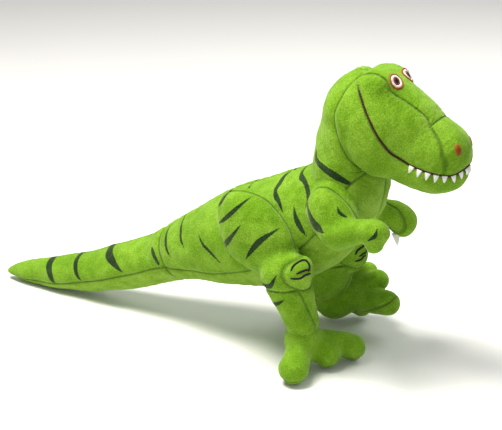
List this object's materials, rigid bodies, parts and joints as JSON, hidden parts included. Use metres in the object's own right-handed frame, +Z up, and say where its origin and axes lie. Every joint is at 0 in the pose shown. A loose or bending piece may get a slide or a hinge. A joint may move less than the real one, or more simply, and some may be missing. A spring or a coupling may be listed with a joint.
{
  "type": "stuffed dinosaur",
  "caption": "Stuffed tyrannosaur in short-pile green plush with dark printed stripes, felt teeth and claws, standing on two feet and its tail, with limbs, head and tail that flex.",
  "frame": {"origin": "on the ground, below the middle of the toy's overall box", "axes": "+X towards the snout, +Y towards the toy's left side, +Z up"},
  "size_m": [0.5383, 0.1985, 0.295],
  "materials": {
    "plush_green": "short-pile velboa plush, brushed, with dark printed stripes",
    "plush_light_green": "short-pile velboa plush, plain",
    "felt_white": "pressed felt",
    "stuffing": "loose polyester fibre fill",
    "thread_brown": "satin embroidery thread",
    "thread_orange": "satin embroidery thread",
    "thread_white": "satin embroidery thread",
    "thread_chestnut": "satin embroidery thread",
    "thread_black": "satin embroidery thread"
  },
  "bodies": {
    "torso": {"torso_panel_right": "plush_green", "belly_panel_right": "plush_light_green", "torso_panel_left": "plush_green", "belly_panel_left": "plush_light_green", "torso_stuffing": "stuffing"},
    "tail": {"tail_panel_right": "plush_green", "tail_panel_left": "plush_green", "tail_gusset": "plush_light_green", "tail_stuffing": "stuffing"},
    "head": {"nape_panel_right": "plush_green", "cheek_panel_right": "plush_green", "nape_panel_left": "plush_green", "cheek_panel_left": "plush_green", "snout_top_panel": "plush_green", "nose_panel": "plush_green", "jaw_panel": "plush_green", "head_stuffing": "stuffing", "mouth_stitching": "thread_brown", "teeth_right": "felt_white", "eye_rim_right": "thread_orange", "eye_white_right": "thread_white", "eye_iris_right": "thread_chestnut", "eye_pupil_right": "thread_black", "nostril_right": "thread_orange", "teeth_left": "felt_white", "eye_rim_left": "thread_orange", "eye_white_left": "thread_white", "eye_iris_left": "thread_chestnut", "eye_pupil_left": "thread_black", "nostril_left": "thread_orange"},
    "arm_right": {"arm_panel_outer_right": "plush_green", "arm_panel_inner_right": "plush_green", "arm_stuffing_right": "stuffing", "claw_right": "felt_white"},
    "arm_left": {"arm_panel_outer_left": "plush_green", "arm_panel_inner_left": "plush_green", "arm_stuffing_left": "stuffing", "claw_left": "felt_white"},
    "leg_right": {"thigh_panel_outer_right": "plush_green", "thigh_panel_inner_right": "plush_green", "knee_patch_right": "plush_green", "knee_stitching_right": "thread_black", "shin_panel_outer_right": "plush_green", "shin_panel_inner_right": "plush_green", "leg_stuffing_right": "stuffing"},
    "leg_left": {"thigh_panel_outer_left": "plush_green", "thigh_panel_inner_left": "plush_green", "knee_patch_left": "plush_green", "knee_stitching_left": "thread_black", "shin_panel_outer_left": "plush_green", "shin_panel_inner_left": "plush_green", "leg_stuffing_left": "stuffing"},
    "foot_right": {"foot_upper_right": "plush_green", "foot_sole_right": "plush_green", "foot_stuffing_right": "stuffing"},
    "foot_left": {"foot_upper_left": "plush_green", "foot_sole_left": "plush_green", "foot_stuffing_left": "stuffing"}
  },
  "joints": [
    {"name": "head_nod", "type": "hinge", "parent": "torso", "child": "head", "pos_m": [0.151, 0, 0.188], "axis": [0, 1, 0], "range_deg": [-18, 8], "stiffness_Nm_per_rad": 1.5},
    {"name": "tail_sway", "type": "hinge", "parent": "torso", "child": "tail", "pos_m": [-0.05, 0, 0.066], "axis": [0, 0, 1], "range_deg": [-20, 20], "stiffness_Nm_per_rad": 1.5},
    {"name": "shoulder_right", "type": "hinge", "parent": "torso", "child": "arm_right", "pos_m": [0.16, -0.042, 0.165], "axis": [0, 1, 0], "range_deg": [-25, 25], "stiffness_Nm_per_rad": 0.3},
    {"name": "shoulder_left", "type": "hinge", "parent": "torso", "child": "arm_left", "pos_m": [0.156, 0.042, 0.155], "axis": [0, 1, 0], "range_deg": [-25, 25], "stiffness_Nm_per_rad": 0.3},
    {"name": "hip_right", "type": "hinge", "parent": "torso", "child": "leg_right", "pos_m": [0.076, -0.048, 0.118], "axis": [0, 1, 0], "range_deg": [-12, 12], "stiffness_Nm_per_rad": 6},
    {"name": "hip_left", "type": "hinge", "parent": "torso", "child": "leg_left", "pos_m": [0.08, 0.048, 0.108], "axis": [0, 1, 0], "range_deg": [-12, 12], "stiffness_Nm_per_rad": 6},
    {"name": "ankle_right", "type": "hinge", "parent": "leg_right", "child": "foot_right", "pos_m": [0.13, -0.05, 0.045], "axis": [0, 1, 0], "range_deg": [-10, 10], "stiffness_Nm_per_rad": 1.5},
    {"name": "ankle_left", "type": "hinge", "parent": "leg_left", "child": "foot_left", "pos_m": [0.11, 0.066, 0.038], "axis": [0, 1, 0], "range_deg": [-10, 10], "stiffness_Nm_per_rad": 1.5}
  ]
}
